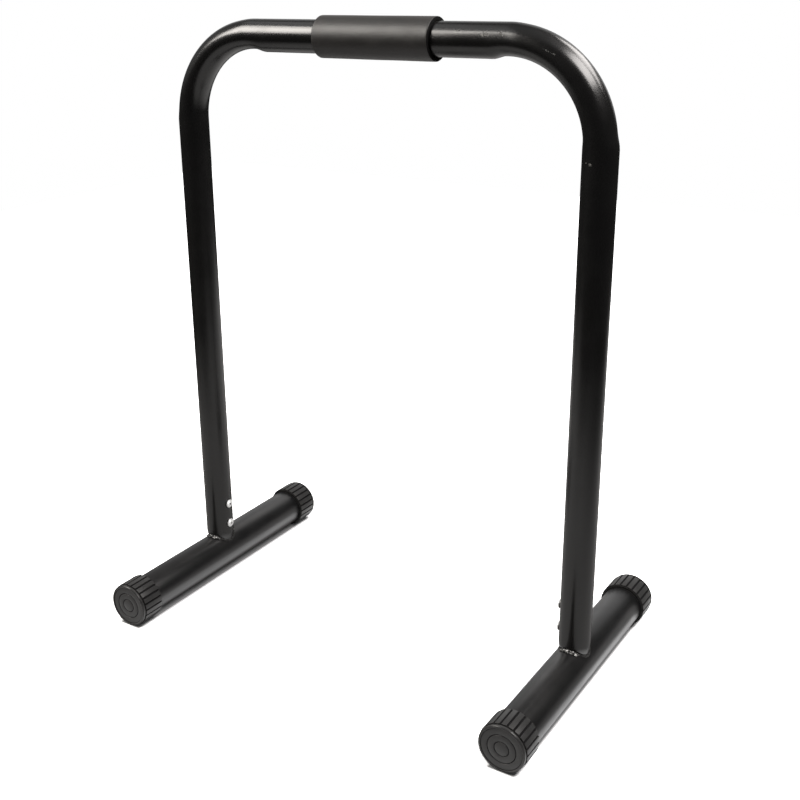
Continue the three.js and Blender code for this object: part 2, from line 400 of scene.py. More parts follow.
class Graph:
    """A node tree that is being wired."""

    def __init__(self, tree: bpy.types.NodeTree) -> None:
        """Takes up a tree and clears its nodes."""
        self.tree = tree
        tree.nodes.clear()

    def add(
        self, kind: str, inputs: dict[str | int, object] | None = None, **settings: object
    ) -> bpy.types.Node:
        """Adds a node.

        Args:
            kind: The node's type name.
            inputs: Values or output sockets for its inputs, by name or number.
            **settings: The node's properties.

        Returns:
            The node.
        """
        node = self.tree.nodes.new(kind)
        for name, value in settings.items():
            setattr(node, name, value)
        for name, value in (inputs or {}).items():
            if isinstance(value, Socket):
                self.tree.links.new(value, node.inputs[name])
            else:
                node.inputs[name].default_value = value
        return node

    def math(self, operation: str, first: object, *others: object, clamp: bool = False) -> Socket:
        """Runs values through Math nodes of one operation, from left to right.

        Args:
            operation: The operation.
            first: The first value or output.
            *others: Those that follow.
            clamp: Whether each result is held from 0 to 1.

        Returns:
            The result.
        """
        for other in others:
            node = self.add("ShaderNodeMath", {0: first, 1: other}, operation=operation, use_clamp=clamp)
            first = node.outputs[0]
        return first

    def times(self, *factors: object) -> Socket:
        """Multiplies values and outputs."""
        return self.math("MULTIPLY", *factors)

    def plus(self, *terms: object, clamp: bool = False) -> Socket:
        """Adds up values and outputs."""
        return self.math("ADD", *terms, clamp=clamp)

    def vector(self, operation: str, first: object, second: object = ORIGIN) -> Socket:
        """Adds a Vector Math node and returns its vector, or its value for a length."""
        node = self.add("ShaderNodeVectorMath", {0: first, 1: second}, operation=operation)
        return node.outputs["Value" if operation == "LENGTH" else "Vector"]

    def split(self, vector: Socket) -> tuple[Socket, ...]:
        """Takes a vector apart into its X, Y and Z."""
        return tuple(self.add("ShaderNodeSeparateXYZ", {0: vector}).outputs)

    def ramp(self, value: object, source: Span, target: Span = RISE) -> Socket:
        """Eases a value from a source range to a target range.

        Args:
            value: The value or output.
            source: The value's own range, beyond which it is held.
            target: What the range's two ends become.

        Returns:
            The result.
        """
        inputs = {"Value": value, "From Min": source[0], "From Max": source[1]}
        inputs |= {"To Min": target[0], "To Max": target[1]}
        return self.add("ShaderNodeMapRange", inputs, interpolation_type="SMOOTHSTEP").outputs[0]

    def blend(self, factor: object, first: object, second: object) -> Socket:
        """Mixes two colours."""
        inputs = {0: factor, 6: first, 7: second}
        return self.add("ShaderNodeMix", inputs, data_type="RGBA", blend_type="MIX").outputs[2]

    def noise(self, where: object, scale: object, detail: float = 2.0, rough: float = 0.5) -> Socket:
        """Adds a noise of a scale per metre and returns its value."""
        inputs = {"Vector": where, "Scale": scale, "Detail": detail, "Roughness": rough}
        return self.add("ShaderNodeTexNoise", inputs).outputs["Fac"]

    def attribute(self, name: str) -> Socket:
        """Reads the points' marks of a name."""
        return self.add("ShaderNodeAttribute", attribute_name=name).outputs["Fac"]


def seen(graph: Graph) -> Socket:
    """Gives 1 to camera and transmission rays, so that they see a white background."""
    path = graph.add("ShaderNodeLightPath").outputs
    return graph.math("MAXIMUM", path["Is Camera Ray"], path["Is Transmission Ray"])


def new_group(
    name: str, inputs: dict[str, object], outputs: Iterable[str]
) -> tuple[Graph, bpy.types.NodeOutputs]:
    """Starts a shader node group that works on a vector.

    Args:
        name: The group's name.
        inputs: The default of each further input: a tuple for a vector, or else a number.
        outputs: The names of its value outputs.

    Returns:
        The group's graph and the outputs of its Group Input.
    """
    tree = bpy.data.node_groups.new(name, "ShaderNodeTree")
    for label, default in {"Vector": ORIGIN, **inputs}.items():
        kind = "NodeSocketVector" if isinstance(default, tuple) else "NodeSocketFloat"
        socket = tree.interface.new_socket(label, in_out="INPUT", socket_type=kind)
        socket.default_value = default
    for label in outputs:
        tree.interface.new_socket(label, in_out="OUTPUT", socket_type="NodeSocketFloat")
    graph = Graph(tree)
    return graph, graph.add("NodeGroupInput").outputs


@dataclass
class Effects:
    """The shader node groups that the finishes share. Each is built once."""

    finer: float = 2.7
    fleck_span: Span = (0.56, 0.72)
    mottle_span: Span = (0.3, 0.7)
    mottle_detail: float = 4.0
    mottle_rough: float = 0.6
    chip_scale: float = 1300.0
    chip_detail: float = 3.0
    chip_rough: float = 0.6
    chip_span: Span = (0.5, 0.58)
    core_span: Span = (0.75, 0.35)
    spread_span: Span = (1.0, 0.6)
    grain: bpy.types.NodeTree = field(init=False)
    mottle: bpy.types.NodeTree = field(init=False)
    mark: bpy.types.NodeTree = field(init=False)

    def __post_init__(self) -> None:
        """Builds the groups."""
        self.grain = self._grain()
        self.mottle = self._mottle()
        self.mark = self._mark()

    def _grain(self) -> bpy.types.NodeTree:
        """Builds the group for a fine surface grain.

        Returns:
            The group, which gives a height and a mask of the grain's lighter flecks.
        """
        graph, given = new_group("Surface grain", {"Scale": 800.0, "Softness": 0.5}, ("Height", "Flecks"))
        fine = graph.noise(given["Vector"], given["Scale"])
        finer = graph.noise(given["Vector"], graph.times(given["Scale"], self.finer), detail=1.0)
        height = graph.plus(graph.times(fine, given["Softness"]), finer)
        flecks = graph.ramp(finer, self.fleck_span)
        graph.add("NodeGroupOutput", {"Height": height, "Flecks": flecks})
        return graph.tree

    def _mottle(self) -> bpy.types.NodeTree:
        """Builds the group for slow unevenness that varies colour and gloss.

        Returns:
            The group, which gives a value from 0 to 1.
        """
        graph, given = new_group("Slow mottle", {"Scale": 25.0}, ("Mottle",))
        value = graph.noise(given["Vector"], given["Scale"], self.mottle_detail, self.mottle_rough)
        graph.add("NodeGroupOutput", {"Mottle": graph.ramp(value, self.mottle_span)})
        return graph.tree

    def _mark(self) -> bpy.types.NodeTree:
        """Builds the group for one scuff: a cluster of small chips round a core, longer one way.

        Returns:
            The group, which gives a mask.
        """
        inputs = {"Centre": ORIGIN, "Turn": 0.0, "Reach": (0.002, 0.002, 0.002), "Core": 0.0}
        graph, given = new_group("Paint mark", inputs, ("Mask",))
        offset = graph.vector("SUBTRACT", given["Vector"], given["Centre"])
        turning = {"Vector": offset, "Angle": given["Turn"]}
        upright = graph.add("ShaderNodeVectorRotate", turning, rotation_type="Y_AXIS").outputs[0]
        distance = graph.vector("LENGTH", graph.vector("DIVIDE", upright, given["Reach"]))
        chips = graph.noise(given["Vector"], self.chip_scale, self.chip_detail, self.chip_rough)
        core = graph.times(graph.ramp(distance, self.core_span), given["Core"])
        spread = graph.times(graph.ramp(chips, self.chip_span), graph.ramp(distance, self.spread_span))
        graph.add("NodeGroupOutput", {"Mask": graph.math("MAXIMUM", core, spread)})
        return graph.tree


@dataclass(frozen=True)
class Grain:
    """A fine grain: its scale per metre, how soft it is, and its depth in metres."""

    scale: float
    softness: float
    depth: float


class Finish:
    """What every finish starts from: a material with its graph and its object coordinates."""

    def __init__(self, name: str, effects: Effects | None = None) -> None:
        """Starts a material.

        Args:
            name: The material's name.
            effects: The shared node groups, where it uses them.
        """
        self.material = bpy.data.materials.new(name)
        self.material.use_nodes = True
        self.graph = Graph(self.material.node_tree)
        self.effects = effects
        self.where = self.graph.add("ShaderNodeTexCoord").outputs["Object"]

    def group(self, tree: bpy.types.NodeTree, **inputs: object) -> bpy.types.NodeOutputs:
        """Places a shared group on this finish's coordinates and returns its outputs."""
        given = {"Vector": self.where, **inputs}
        return self.graph.add("ShaderNodeGroup", given, node_tree=tree).outputs

    def grain(self, look: Grain) -> bpy.types.NodeOutputs:
        """Places the grain and returns its height and its flecks."""
        return self.group(self.effects.grain, Scale=look.scale, Softness=look.softness)

    def mottle(self, scale: float) -> Socket:
        """Places the slow mottle at a scale per metre."""
        return self.group(self.effects.mottle, Scale=scale)["Mottle"]

    def bump(self, height: Socket, depth: float) -> Socket:
        """Turns a height, of which 1 is a depth in metres, into a normal."""
        inputs = {"Height": height, "Distance": depth, "Strength": 1.0}
        return self.graph.add("ShaderNodeBump", inputs).outputs[0]

    def shade(self, **inputs: object) -> Material:
        """Ends the graph in a Principled shader.

        Args:
            **inputs: Its inputs, with spaces written as underscores.

        Returns:
            The material.
        """
        named = {name.replace("_", " "): value for name, value in inputs.items()}
        self.end(self.graph.add("ShaderNodeBsdfPrincipled", named))
        return self.material

    def end(self, shader: bpy.types.Node) -> None:
        """Leads a shader to the material's output."""
        self.graph.add("ShaderNodeOutputMaterial", {"Surface": shader.outputs[0]})


@dataclass(frozen=True)
class PaintMark:
    """One scuff or chip in the paint, turned in the XZ plane by degrees."""

    centre: Place
    reach: Place
    turn: float
    bright: float
    core: float = 0.0


@dataclass(frozen=True)
class PowderCoat:
    """Satin black powder coat on steel, with its orange peel, faint dust and paint marks."""

    name: str
    colour: Colour
    gloss: Span
    marks: tuple[PaintMark, ...] = ()
    dust: Colour = (0.035, 0.034, 0.033, 1)
    bare: Colour = (0.30, 0.29, 0.27, 1)
    peel: Grain = Grain(260.0, 1.6, 0.001 * MM)
    mottle_scale: float = 22.0
    level: Span = (0.55, 1.0)
    dust_most: float = 0.35
    dust_mottle: float = 0.3
    speck_scale: float = 900.0
    speck_span: Span = (0.7, 0.78)
    chip_depth: float = 120.0
    chip_matt: float = 0.25

    def build(self, effects: Effects) -> Material:
        """Makes the material.

        Args:
            effects: The shared node groups.

        Returns:
            The material.
        """
        finish = Finish(self.name, effects)
        graph = finish.graph
        mottle = finish.mottle(self.mottle_scale)
        facing_up = graph.split(graph.add("ShaderNodeNewGeometry").outputs["Normal"])[2]
        settled = graph.ramp(facing_up, self.level, (0.0, self.dust_most))
        specks = graph.ramp(graph.noise(finish.where, self.speck_scale), self.speck_span)
        dusty = graph.times(settled, graph.plus(graph.times(mottle, self.dust_mottle), specks))
        colour = graph.blend(dusty, self.colour, self.dust)
        height = finish.grain(self.peel)["Height"]
        roughness = graph.ramp(mottle, RISE, self.gloss)
        for mark in self.marks:
            mask = finish.group(
                effects.mark, Centre=mark.centre, Reach=mark.reach,
                Turn=math.radians(mark.turn), Core=mark.core,
            )["Mask"]
            colour = graph.blend(graph.times(mask, mark.bright), colour, self.bare)
            height = graph.math("SUBTRACT", height, graph.times(mask, self.chip_depth))
            roughness = graph.plus(roughness, graph.times(mask, self.chip_matt), clamp=True)
        normal = finish.bump(height, self.peel.depth)
        return finish.shade(
            Base_Color=colour, Roughness=roughness, Normal=normal, Specular_IOR_Level=1.0
        )


@dataclass(frozen=True)
class FoamSkin:
    """Closed-cell foam with a soft moulded skin."""

    colour: Colour = (0.019, 0.0175, 0.016, 1)
    worn: Colour = (0.030, 0.027, 0.025, 1)
    grain: Grain = Grain(1400.0, 0.8, 0.05 * MM)
    mottle_scale: float = 35.0
    gloss: Span = (0.44, 0.5)
    wear: float = 0.6
    fleck_wear: float = 0.3

    def build(self, effects: Effects) -> Material:
        """Makes the material.

        Args:
            effects: The shared node groups.

        Returns:
            The material.
        """
        finish = Finish("Foam skin", effects)
        graph = finish.graph
        grain = finish.grain(self.grain)
        mottle = finish.mottle(self.mottle_scale)
        worn = graph.plus(graph.times(mottle, self.wear), graph.times(grain["Flecks"], self.fleck_wear))
        return finish.shade(
            Base_Color=graph.blend(worn, self.colour, self.worn),
            Roughness=graph.ramp(mottle, RISE, self.gloss),
            Normal=finish.bump(grain["Height"], self.grain.depth),
            Specular_IOR_Level=1.0,
            Sheen_Weight=0.05,
        )


@dataclass(frozen=True)
class CutFoam:
    """The open cells on the foam's cut ends, with painted shade in their hollows."""

    colour: Colour = (0.006, 0.006, 0.006, 1)
    # painted shade: the colour in the cells' hollows
    hollow: Colour = (0.002, 0.002, 0.002, 1)
    cell_scale: float = 1100.0
    cell_depth: float = 0.25 * MM

    def build(self) -> Material:
        """Makes the material.

        Returns:
            The material.
        """
        finish = Finish("Cut foam")
        inputs = {"Vector": finish.where, "Scale": self.cell_scale}
        cells = finish.graph.add("ShaderNodeTexVoronoi", inputs).outputs["Distance"]
        return finish.shade(
            Base_Color=finish.graph.blend(cells, self.hollow, self.colour),
            Roughness=0.95,
            Normal=finish.bump(cells, self.cell_depth),
            Specular_IOR_Level=0.2,
        )


@dataclass(frozen=True)
class MouldedPlastic:
    """Black moulded plastic with a fine spark-eroded grain, and painted shade in its grooves, rib ends,
    mouth and face rings.
    """

    colour: Colour = (0.050, 0.050, 0.050, 1)
    fleck: Colour = (0.100, 0.099, 0.097, 1)
    # painted shade: the colour of the grooves, the rib ends, the mouth and the face's rings
    shadow: Colour = (0.002, 0.002, 0.002, 1)
    grain: Grain = Grain(900.0, 0.7, 0.03 * MM)
    mottle_scale: float = 60.0
    gloss: Span = (0.36, 0.46)
    fleck_mottle: float = 0.5
    fleck_least: float = 0.3
    groove_span: Span = (0.0, 0.45)
    groove_matt: float = 0.5
    rim_span: Span = (-0.1, -0.9)
    rubbed: float = 0.28

    def build(self, effects: Effects) -> Material:
        """Makes the material.

        Args:
            effects: The shared node groups.

        Returns:
            The material.
        """
        finish = Finish("Moulded plastic", effects)
        graph = finish.graph
        grain = finish.grain(self.grain)
        mottle = finish.mottle(self.mottle_scale)
        share = graph.plus(graph.times(mottle, self.fleck_mottle), self.fleck_least)
        skin = graph.blend(graph.times(grain["Flecks"], share), self.colour, self.fleck)
        # painted shade: the marked grooves, rib ends, mouth and rings are darkened towards the shadow
        # colour
        depth = graph.attribute(GROOVE_SHADE)
        groove = graph.ramp(depth, self.groove_span)
        rim = graph.ramp(depth, self.rim_span, (0.0, self.rubbed))
        matt = graph.math("SUBTRACT", graph.ramp(mottle, RISE, self.gloss), rim)
        return finish.shade(
            Base_Color=graph.blend(groove, skin, self.shadow),
            Roughness=graph.plus(matt, graph.times(groove, self.groove_matt), clamp=True),
            Normal=finish.bump(grain["Height"], self.grain.depth),
            Specular_IOR_Level=0.6,
        )


@dataclass(frozen=True)
class ZincPlate:
    """Bright zinc plating with faint cloudiness, and painted shade in the screws' cross recesses."""

    colour: Colour = (1.0, 1.0, 1.0, 1)
    cloud: Colour = (0.9, 0.9, 0.89, 1)
    # painted shade: the colour of the cross recess
    recess: Colour = (0.02, 0.02, 0.02, 1)
    grain: Grain = Grain(1500.0, 1.0, 0.006 * MM)
    mottle_scale: float = 300.0
    gloss: Span = (0.24, 0.32)

    def build(self, effects: Effects) -> Material:
        """Makes the material.

        Args:
            effects: The shared node groups.

        Returns:
            The material.
        """
        finish = Finish("Zinc plate", effects)
        graph = finish.graph
        mottle = finish.mottle(self.mottle_scale)
        plate = graph.blend(mottle, self.colour, self.cloud)
        return finish.shade(
            # painted shade: the marked recess takes the recess colour
            Base_Color=graph.blend(graph.attribute(GROOVE_SHADE), plate, self.recess),
            Roughness=graph.ramp(mottle, RISE, self.gloss),
            Normal=finish.bump(finish.grain(self.grain)["Height"], self.grain.depth),
            Metallic=0.45,
        )


@dataclass(frozen=True)
class WeldMetal:
    """Weld beads under thin paint, with the bare metal showing on their crests."""

    paint: Colour = (0.006, 0.006, 0.006, 1)
    metal: Colour = (0.42, 0.42, 0.41, 1)
    grain: Grain = Grain(1200.0, 1.0, 0.03 * MM)
    patch_scale: float = 420.0
    patch_span: Span = (0.4, 0.56)
    gloss: Span = (0.4, 0.36)
    metallic: Span = (0.0, 0.85)

    def build(self, effects: Effects) -> Material:
        """Makes the material.

        Args:
            effects: The shared node groups.

        Returns:
            The material.
        """
        finish = Finish("Weld metal", effects)
        graph = finish.graph
        patches = graph.ramp(graph.noise(finish.where, self.patch_scale), self.patch_span)
        bare = graph.times(graph.attribute(BARE), patches)
        return finish.shade(
            Base_Color=graph.blend(bare, self.paint, self.metal),
            Roughness=graph.ramp(bare, RISE, self.gloss),
            Metallic=graph.ramp(bare, RISE, self.metallic),
            Normal=finish.bump(finish.grain(self.grain)["Height"], self.grain.depth),
        )


@dataclass
class BentTube:
    """The bent frame tube: bar, two bends and two uprights in one piece.

    A dent is its depth at the bar's end and at the upright's end of the bend. The lead is the last
    stretch of the bar, where the inside dent sets in. The uprights end in two ears at the floor
    tube's flanks, and stand a gap over its ridge.
    """

    radius: float = 19 * MM
    wall: float = WALL
    bend_radius: float = 105 * MM
    top: float = 764 * MM
    sides: int = 96
    bend_steps: int = 44
    lead: float = 20 * MM
    lead_steps: int = 8
    stations: tuple[float, ...] = (0.45, 0.25, 0.13, 0.09)
    dent_run: float = 16 * MM
    inside_dent: Span = (3.3 * MM, 1.0 * MM)
    outside_dent: Span = (0.4 * MM, 2.8 * MM)
    side_swell: float = 0.8 * MM
    floor_radius: float = 25 * MM
    ear_gap: float = 2.4 * MM
    ridge_gap: float = 5 * MM
    dressed_depth: float = 1.4 * MM
    dressed_above: float = 7 * MM
    dressed_rings: int = 6
    ring_step: float = 1 * MM
    edge: float = 0.5 * MM
    hole_radius: float = 3.3 * MM
    hole_sides: int = 32
    upright_x: float = field(init=False)
    floor_axis: float = field(init=False)

    def __post_init__(self) -> None:
        """Reads the uprights' and the floor tubes' places from the frame."""
        centre = middle("floor_tube_right")
        self.upright_x, self.floor_axis = centre.x, centre.z

    @property
    def bend_centre(self) -> Vector:
        """The centre of the right bend."""
        height = self.top - self.radius - self.bend_radius
        return Vector((self.upright_x - self.bend_radius, 0, height))

    def _rings(self) -> Workpiece:
        """Draws a plain ring along the right half, from the middle of the bar to the lower end.

        Returns:
            The half tube's outer surface.
        """
        start = (self.radius, self.top - self.radius)
        tube = ring("frame_tube", start, self.sides, rotation=(0, QUARTER, 0))
        tube.open("SELECT")
        tangent = self.bend_centre.x
        stops = [0.0, tangent / 2, tangent - self.lead]
        for step in range(1, self.lead_steps + 1):
            stops.append(tangent - self.lead * (1 - step / self.lead_steps))
        for here, there in pairwise(stops):
            extrude(there - here, 0, 0)
        bpy.ops.mesh.spin(
            steps=self.bend_steps, dupli=False, angle=QUARTER,
            center=self.bend_centre, axis=(0, -1, 0),
        )
        low = self.floor_axis + self.floor_radius + self.dressed_above
        for here, there in pairwise([self.bend_centre.z, *self.stations, low]):
            extrude(0, 0, there - here)
        for _ in range(self.dressed_rings):
            extrude(0, 0, -self.ring_step)
        tube.close()
        return tube

    def _dents(self, tube: Workpiece) -> None:
        """Presses the bend in on its inside and outside, and swells its flanks, by weight groups.

        Args:
            tube: The right half of the tube.
        """
        arc_length = self.bend_radius * QUARTER
        flats = tube.body.vertex_groups.new(name="flat")
        swells = tube.body.vertex_groups.new(name="swell")
        deepest = max(*self.inside_dent, *self.outside_dent)
        centre = self.bend_centre
        for vertex in tube.body.data.vertices:
            offset = vertex.co - centre
            if offset.x < 0:
                along, out = offset.x, Vector((0, 0, 1))
            elif offset.z < 0:
                along, out = arc_length - offset.z, Vector((1, 0, 0))
            else:
                out = Vector((offset.x, 0, offset.z)).normalized()
                along = self.bend_radius * math.atan2(out.x, out.z)
            if along < -self.lead or along > arc_length:
                continue
            section = Vector((max(offset.x, 0), 0, max(offset.z, 0)))
            rise = (section.dot(out) if offset.z >= 0 else offset.x) - self.bend_radius
            cosine = max(-1.0, min(1.0, rise / self.radius))
            across = min(max(along / arc_length, 0.0), 1.0)
            ending = smooth_step((arc_length - along) / self.dent_run)
            depth = between(self.outside_dent if cosine > 0 else self.inside_dent, across)
            start = along if cosine > 0 else along + self.lead
            weight = depth * cosine**2 * smooth_step(start / self.dent_run) * ending / deepest
            swell = (1 - cosine**2) * smooth_step(along / self.dent_run) * ending
            flats.add([vertex.index], weight, "REPLACE")
            swells.add([vertex.index], swell, "REPLACE")
        tube.modify("DISPLACE", strength=-deepest, mid_level=0, vertex_group="flat")
        tube.modify("DISPLACE", strength=self.side_swell, mid_level=0, vertex_group="swell")
        tube.body.vertex_groups.clear()

    def _dress_end(self, tube: Workpiece) -> None:
        """Draws the lowest rings down to the saddle and files the two ears inwards.

        Args:
            tube: The right half of the tube.
        """
        ear = saddle_height(self.floor_radius, self.radius) + self.ear_gap
        ridge = self.floor_radius + self.ridge_gap
        half_width = self.radius / math.sqrt(1 - (ear / ridge) ** 2)
        top = self.floor_radius + self.dressed_above
        for vertex in tube.body.data.vertices:
            below = self.floor_axis + top - vertex.co.z
            if below < self.ring_step / 2:
                continue
            share = round(below / self.ring_step) / self.dressed_rings
            beside = vertex.co.x - self.upright_x
            saddle = ridge * math.sqrt(max(1 - (beside / half_width) ** 2, 0))
            height = between((top, saddle), share)
            depth = self.dressed_depth * smooth_step((top - height) / (top - ear))
            shrink = 1 - depth / self.radius
            vertex.co.x = self.upright_x + beside * shrink
            vertex.co.y *= shrink
            vertex.co.z = self.floor_axis + height
        tube.body.data.update()

    def _bore_screw_holes(self, tube: Workpiece) -> None:
        """Drills the clearance holes for the screws through the uprights' inner walls.

        Args:
            tube: The whole tube.
        """
        for side in Side:
            for row in Row:
                height = middle(f"screw_{row.word}_{side.word}").z
                drill = added(
                    "drill", bpy.ops.mesh.primitive_cylinder_add,
                    vertices=self.hole_sides, radius=self.hole_radius, depth=4 * self.wall,
                    location=(side.value * (self.upright_x - self.radius), 0, height),
                    rotation=(0, QUARTER, 0),
                )
                tube.combine(drill, "DIFFERENCE")

    def build(self, finish: Material) -> None:
        """Models the tube and fits it out.

        Args:
            finish: Its material.
        """
        tube = self._rings()
        tube.mend()
        self._dents(tube)
        self._dress_end(tube)
        tube.modify("MIRROR", use_axis=(True, False, False), merge_threshold=NEAR_SPOT)
        tube.mend()
        tube.modify("SOLIDIFY", thickness=self.wall, offset=-1, use_even_offset=True)
        tube.round_edges(self.edge, segments=3, angle=50)
        self._bore_screw_holes(tube)
        tube.fit_out(finish, "powder_coat", "bent_frame_tube", crease=40)


@dataclass
class GripSleeve:
    """The foam sleeve on the bar."""

    gap: float = 0.3 * MM
    points: int = 112
    rows: int = 56
    edge: float = 1.1 * MM
    unevenness: float = 0.22 * MM
    swell_share: float = 0.7
    swell_scale: float = 26
    cut_band: float = 0.2 * MM
    cut_facing: float = 0.8
    ragged: float = 0.25 * MM
    ragged_scale: float = 400

    def _roughen(self, sleeve: Workpiece, bore: float, half: float) -> None:
        """Makes the foam's outside slightly uneven and its cut ends ragged.

        Args:
            sleeve: The sleeve, round Z.
            bore: The radius of its bore.
            half: Half its length.
        """
        for vertex in sleeve.body.data.vertices:
            swell = noise.noise(vertex.co * self.swell_scale) * self.unevenness * self.swell_share
            radius = math.hypot(vertex.co.x, vertex.co.y)
            if radius > bore + self.gap:
                ratio = 1 + swell / radius
                vertex.co.x *= ratio
                vertex.co.y *= ratio
            if abs(vertex.co.z) > half - self.cut_band:
                ragged = noise.noise(vertex.co * self.ragged_scale) * self.ragged
                vertex.co.z -= math.copysign(abs(ragged), vertex.co.z)

    def build(self, skin: Material, cut: Material) -> None:
        """Models the sleeve and fits it out.

        Args:
            skin: The material of its outside and bore.
            cut: The material of its two cut ends.
        """
        size = span("grip_sleeve")
        outer = size.z / 2 - self.unevenness
        bore = BentTube.radius + self.gap
        half = size.x / 2
        skin_line = [(outer, -half + size.x * row / self.rows) for row in range(self.rows + 1)]
        sleeve = turned("foam_grip", [(bore, -half), *skin_line, (bore, half)], self.points)
        sleeve.round_edges(self.edge, segments=4, angle=50)
        self._roughen(sleeve, bore, half)
        sleeve.body.data.materials.append(skin)
        sleeve.body.data.materials.append(cut)
        for face in sleeve.body.data.polygons:
            face.material_index = int(abs(face.normal.z) > self.cut_facing)
        sleeve.place(posed(middle("grip_sleeve"), (90, "Y")))
        sleeve.fit_out(skin, "foam", "grip_sleeve", crease=50)


@dataclass
class FloorTube:
    """One floor tube, open at both ends under its caps."""

    wall: float = WALL
    edge: float = 0.4 * MM
    points: int = 128

    def build(self, side: Side, finish: Material) -> None:
        """Models one floor tube and fits it out.

        Args:
            side: Which one.
            finish: Its material.
        """
        node = f"floor_tube_{side.word}"
        size = span(node)
        radius, half = size.z / 2, size.y / 2
        inner = radius - self.wall
        outline = [(inner, -half), (radius, -half), (radius, 0), (radius, half), (inner, half)]
        tube = turned(f"cross_tube_{side.word}", outline, self.points)
        tube.round_edges(self.edge, segments=2, angle=50)
        tube.place(posed(middle(node), (90, "X")))
        tube.fit_out(finish, "powder_coat", node, crease=35)


@dataclass
class EndCap:
    """A ribbed end cap: a cup round Z with its mouth at the origin and a rib centred on +Y."""

    bore: float = 25.1 * MM
    root: float = 27.5 * MM
    land: float = 29 * MM
    rim: float = 28.4 * MM
    depth: float = 35 * MM
    end_thickness: float = 3.7 * MM
    ribs: int = 22
    columns: int = 8
    rib_start: float = 0.5 * MM
    rib_end: float = 30.6 * MM
    rim_start: float = 31.8 * MM
    rim_round: float = 1.5 * MM
    rim_steps: int = 4
    land_half: float = 2.885 * MM
    lip: float = 25.6 * MM
    recess: float = 0.8 * MM
    ring_radii: Span = (17.2 * MM, 8.8 * MM)
    ring_width: float = 1.3 * MM
    ring_depth: float = 0.7 * MM
    pole: float = 1 * MM
    edge: float = 0.2 * MM
    draft: float = 0.25 * MM
    ring_shade: float = 0.6

    @property
    def half_pitch(self) -> float:
        """Half the angle from one rib to the next."""
        return math.pi / self.ribs

    @property
    def face(self) -> float:
        """The height of the face inside the lip."""
        return self.depth - self.recess

    def _outline(self) -> Outline:
        """Lists the wall's points from the bore's floor round the mouth to the middle of the face.

        Returns:
            Points of radius and height.
        """
        inside = self.depth - self.end_thickness
        corner = (self.rim - self.rim_round, self.depth - self.rim_round)
        points = [(self.pole, inside), (self.bore, inside), (self.bore, 0)]
        for height in (0, self.rib_start, self.rib_end, self.rim_start):
            points.append((self.root, height))
        points += [(self.rim, self.rim_start)]
        points += arc(corner, (self.rim_round, self.rim_round), self.rim_steps)
        points += [(self.lip, self.depth), (self.lip - self.recess, self.face)]
        points += [(self.lip - 2 * self.recess, self.face)]
        half, bottom = self.ring_width / 2, self.face - self.ring_depth
        for radius in self.ring_radii:
            points += [(radius + half, self.face), (radius + half / 2, bottom)]
            points += [(radius - half / 2, bottom), (radius - half, self.face)]
        return [*points, (self.pole, self.face)]

    def _sector(self) -> Workpiece:
        """Models one rib's sector of the wall, before the rib is raised.

        Returns:
            The sector.
        """
        outline = self._outline()
        sector = ring("cap_pattern", outline[0], self.ribs * self.columns)
        sector.open()
        beyond = self.half_pitch + self.half_pitch / self.columns
        sector.pick("VERT", lambda vertex: off_rib(vertex.co) > beyond)
        bpy.ops.mesh.delete(type="VERT")
        bpy.ops.mesh.select_all(action="SELECT")
        sector.draw_up(outline)
        sector.close()
        return sector

    def _raise_rib(self, sector: Workpiece) -> None:
        """Raises the rib out of the sector's wall, flattens its land and draws in its flanks.

        Args:
            sector: The sector.
        """
        reach = self.half_pitch * (1 - 2 / self.columns)
        wall = (self.bore + self.root) / 2

        def on_rib(face: bmesh.types.BMFace) -> bool:
            """Says whether a face is on the wall's outside, where the rib is."""
            at = face.calc_center_median()
            return at.xy.length > wall and off_rib(at) < reach and self.rib_start < at.z < self.rib_end

        sector.open()
        sector.pick("FACE", on_rib)
        extrude(0, self.land - self.root * math.cos(reach), 0)
        bpy.ops.transform.resize(value=(1, 0, 1), center_override=(0, self.land, 0))
        narrow = self.land_half / (self.root * math.sin(reach))
        shorten = 1 - 2 * self.draft / (self.rib_end - self.rib_start)
        rib_middle = (0, self.land, (self.rib_start + self.rib_end) / 2)
        bpy.ops.transform.resize(value=(narrow, 1, shorten), center_override=rib_middle)
        sector.close()

    def pattern(self) -> Workpiece:
        """Models a whole cap.

        Returns:
            The cap, as a pattern to copy.
        """
        cap = self._sector()
        self._raise_rib(cap)
        cap.open("SELECT")
        turn = 2 * math.pi * (self.ribs - 1) / self.ribs
        bpy.ops.mesh.spin(steps=self.ribs - 1, dupli=True, angle=turn, center=ORIGIN, axis=(0, 0, 1))
        bpy.ops.mesh.select_all(action="SELECT")
        bpy.ops.mesh.remove_doubles(threshold=NEAR_SPOT)
        cap.cap_poles()
        cap.close()
        cap.mend(NEAR_SPOT)
        cap.round_edges(self.edge, segments=2, angle=34)
        self._mark_grooves(cap)
        return cap

    def _mark_grooves(self, cap: Workpiece) -> None:
        """Marks the points between the ribs, on their ends and in the face's rings, which are painted
        with shade.

        The shiny rim is marked below 0.

        Args:
            cap: The cap.
        """
        first = self.rib_start + self.draft + self.edge / 2
        last = self.rib_end - self.draft - self.edge / 2
        for vertex, mark in cap.marks(GROOVE_SHADE):
            radius, height = vertex.co.xy.length, vertex.co.z
            if height < self.rim_start + self.edge / 2 and radius > self.bore - self.edge:
                low = radius < self.root + self.edge * 1.5
                mark.value = float(low or not first < height < last)
            elif radius < self.lip:
                mark.value = self.ring_shade * (height < self.face - self.ring_depth / 2)
            if abs(radius - self.lip + self.recess) < self.edge and abs(height - self.face) < self.edge:
                mark.value = 1.0
            if radius > self.rim - self.rim_round and height > self.depth - self.rim_round:
                mark.value = -1.0

